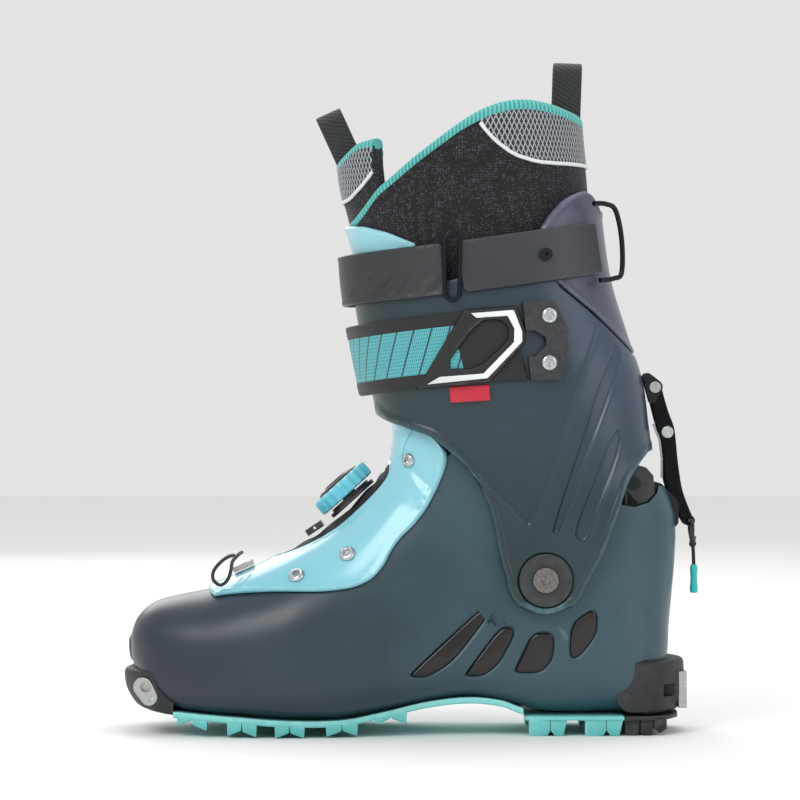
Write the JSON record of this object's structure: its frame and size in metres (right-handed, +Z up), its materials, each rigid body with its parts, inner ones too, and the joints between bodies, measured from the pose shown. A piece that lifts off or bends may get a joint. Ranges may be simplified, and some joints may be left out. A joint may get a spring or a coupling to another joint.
{
  "type": "ski touring boot",
  "caption": "Left ski-touring boot: plastic lower shell and hinged cuff with lace dial, two straps, heel lock lever, removable-style liner and lugged sole.",
  "frame": {"origin": "centre of the boot's bounding box on the plane of the floor", "axes": "+Z up the leg, -X towards the toe, -Y towards the outer side of the foot"},
  "size_m": [0.2824, 0.1059, 0.3282],
  "materials": {
    "shell_plastic": "satin",
    "inlay": "matte",
    "black_rubber": "matte",
    "black_plastic": "satin",
    "steel": "brushed",
    "screw_steel": "polished",
    "black_metal": "satin",
    "teal_rubber": "matte",
    "light_blue_plastic": "gloss",
    "lace": "braided",
    "membrane": "woven",
    "spool": "satin",
    "liner_fabric": "knit",
    "teal_fabric": "knit",
    "insole_fabric": "knit",
    "cuff_plastic": "satin",
    "spoiler_plastic": "satin",
    "webbing": "woven",
    "strap_pu": "matte",
    "printed_webbing": "woven",
    "label_fabric": "woven",
    "black_aluminium": "satin"
  },
  "bodies": {
    "shell": {"lower_shell": "shell_plastic", "window_inlays": "inlay", "toe_bumper": "black_rubber", "toe_insert": "steel", "toe_screws": "screw_steel", "heel_ledge": "black_plastic", "heel_insert": "steel", "heel_screws": "screw_steel", "front_outsole": "teal_rubber", "heel_outsole": "teal_rubber", "heel_block": "black_rubber", "instep_flap": "light_blue_plastic", "flap_screws": "screw_steel", "lace_clip": "steel", "lace_loop": "lace", "gaiter": "membrane", "lace_guide": "black_plastic", "dial_base": "black_plastic", "liner_lower": "liner_fabric", "insole": "insole_fabric", "tongue_lower": "light_blue_plastic", "lock_bracket": "black_metal", "lock_pin": "steel", "lock_block": "black_plastic", "lock_rivet": "black_plastic", "pivot_bolts": "black_metal", "pivot_washers": "black_metal", "pivot_nuts": "steel"},
    "cuff_body": {"cuff": "cuff_plastic", "spoiler": "spoiler_plastic", "pivot_bushes": "black_metal", "tongue_upper": "light_blue_plastic", "liner_upper": "liner_fabric", "liner_tongue": "teal_fabric", "front_pull_loop": "webbing", "rear_pull_loop": "webbing", "power_strap": "strap_pu", "power_strap_rear": "strap_pu", "ring_buckle": "black_metal", "rear_buckle": "black_metal", "strap_snap": "black_plastic", "finger_strap": "printed_webbing", "strap_overlay": "webbing", "anchor_plate": "black_plastic", "anchor_screws": "screw_steel", "label": "label_fabric", "lever_bracket": "black_metal", "lever_pin": "steel"},
    "lever": {"walk_lever": "black_aluminium", "lever_rivet": "steel", "lever_spring": "steel", "pull_cord": "lace", "pull_tab": "teal_rubber"},
    "spool": {"dial_core": "spool"},
    "knob": {"dial_knob": "light_blue_plastic"}
  },
  "joints": [
    {"name": "cuff_flex", "type": "hinge", "parent": "shell", "child": "cuff_body", "pos_m": [0.0665, 0, 0.0758], "axis": [0, 1, 0], "range_deg": [-10, 22]},
    {"name": "walk_lever_swing", "type": "hinge", "parent": "cuff_body", "child": "lever", "pos_m": [0.1216, 0, 0.1685], "axis": [0, -1, 0], "range_deg": [0, 100]},
    {"name": "dial_lift", "type": "slide", "parent": "shell", "child": "spool", "axis": [-0.6702, 0, 0.7422], "range_m": [0, 0.003]},
    {"name": "dial_turn", "type": "hinge", "parent": "spool", "child": "knob", "pos_m": [-0.0314, 0, 0.1187], "axis": [-0.6702, 0, 0.7422], "continuous": true}
  ]
}
